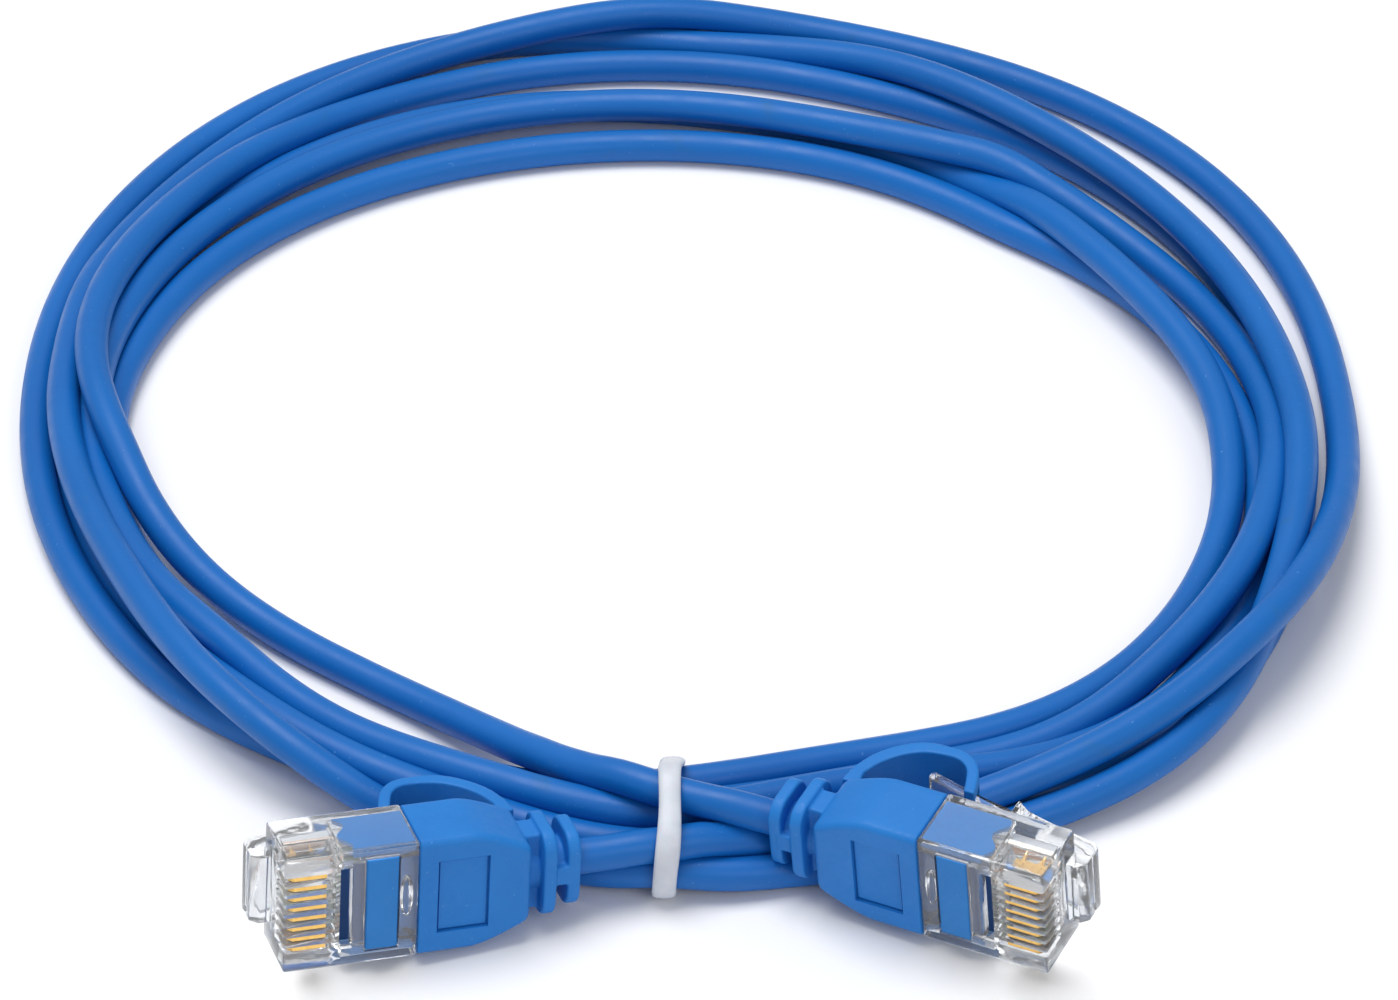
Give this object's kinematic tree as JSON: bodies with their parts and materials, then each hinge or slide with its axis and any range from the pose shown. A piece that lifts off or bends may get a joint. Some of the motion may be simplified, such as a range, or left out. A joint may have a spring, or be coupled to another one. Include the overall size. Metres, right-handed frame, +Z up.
{
  "type": "ethernet patch cable",
  "caption": "Round-jacketed network patch cable wound into a flat coil and tied, with a clear eight-way modular plug, spring latch and hooded strain-relief boot on each end.",
  "frame": {"origin": "centre of the bounding box in plan, on the surface the cable lies on", "axes": "+Z up from the surface; +Y from the plugs across the coil to its far side; +X to the right as seen from the plugs"},
  "size_m": [0.1282, 0.1491, 0.0139],
  "materials": {
    "clear_plastic": "clear moulded polycarbonate, polished",
    "boot_blue": "soft moulded blue, fine matte grain",
    "cord_jacket": "satin extruded blue jacket",
    "contact_gold": "gold plated",
    "tie_white": "soft white",
    "wire_white_orange": "thin wire insulation",
    "wire_orange": "thin wire insulation",
    "wire_white_green": "thin wire insulation",
    "wire_blue": "thin wire insulation",
    "wire_white_blue": "thin wire insulation",
    "wire_green": "thin wire insulation",
    "wire_white_brown": "thin wire insulation",
    "wire_brown": "thin wire insulation"
  },
  "bodies": {
    "root": {"plug_housing_a": "clear_plastic", "load_bar_a": "clear_plastic", "inner_mould_a": "boot_blue", "boot_a": "boot_blue", "contact_a_1": "contact_gold", "contact_a_2": "contact_gold", "contact_a_3": "contact_gold", "contact_a_4": "contact_gold", "contact_a_5": "contact_gold", "contact_a_6": "contact_gold", "contact_a_7": "contact_gold", "contact_a_8": "contact_gold", "wire_a_1": "wire_white_orange", "wire_a_2": "wire_orange", "wire_a_3": "wire_white_green", "wire_a_4": "wire_blue", "wire_a_5": "wire_white_blue", "wire_a_6": "wire_green", "wire_a_7": "wire_white_brown", "wire_a_8": "wire_brown", "plug_housing_b": "clear_plastic", "load_bar_b": "clear_plastic", "inner_mould_b": "boot_blue", "boot_b": "boot_blue", "contact_b_1": "contact_gold", "contact_b_2": "contact_gold", "contact_b_3": "contact_gold", "contact_b_4": "contact_gold", "contact_b_5": "contact_gold", "contact_b_6": "contact_gold", "contact_b_7": "contact_gold", "contact_b_8": "contact_gold", "wire_b_1": "wire_white_orange", "wire_b_2": "wire_orange", "wire_b_3": "wire_white_green", "wire_b_4": "wire_blue", "wire_b_5": "wire_white_blue", "wire_b_6": "wire_green", "wire_b_7": "wire_white_brown", "wire_b_8": "wire_brown", "cord_lead_a": "cord_jacket", "cord_coil": "cord_jacket", "cord_lead_b": "cord_jacket", "tie": "tie_white"},
    "latch_a": {"latch_a": "clear_plastic"},
    "hood_a": {"hood_a": "boot_blue"},
    "latch_b": {"latch_b": "clear_plastic"},
    "hood_b": {"hood_b": "boot_blue"}
  },
  "joints": [
    {"name": "hood_press_a", "type": "hinge", "parent": "root", "child": "hood_a", "pos_m": [-0.01636, -0.06045, 0.0052], "axis": [0.0482, 0.1492, 0.9876], "range_deg": [0, 12], "stiffness_Nm_per_rad": 0.1},
    {"name": "latch_press_a", "type": "hinge", "parent": "root", "child": "latch_a", "pos_m": [-0.03838, -0.06745, 0.00733], "axis": [-0.0482, -0.1492, -0.9876], "range_deg": [0, 12], "stiffness_Nm_per_rad": 0.1},
    {"name": "hood_press_b", "type": "hinge", "parent": "root", "child": "hood_b", "pos_m": [0.01457, -0.05803, 0.00721], "axis": [0.0736, 0.0494, -0.9961], "range_deg": [0, 12], "stiffness_Nm_per_rad": 0.1},
    {"name": "latch_press_b", "type": "hinge", "parent": "root", "child": "latch_b", "pos_m": [0.03515, -0.06869, 0.0082], "axis": [-0.0736, -0.0494, 0.9961], "range_deg": [0, 12], "stiffness_Nm_per_rad": 0.1}
  ],
  "couplings": [
    {"joint": "latch_press_a", "follows": "hood_press_a", "ratio": 1},
    {"joint": "latch_press_b", "follows": "hood_press_b", "ratio": 1}
  ]
}
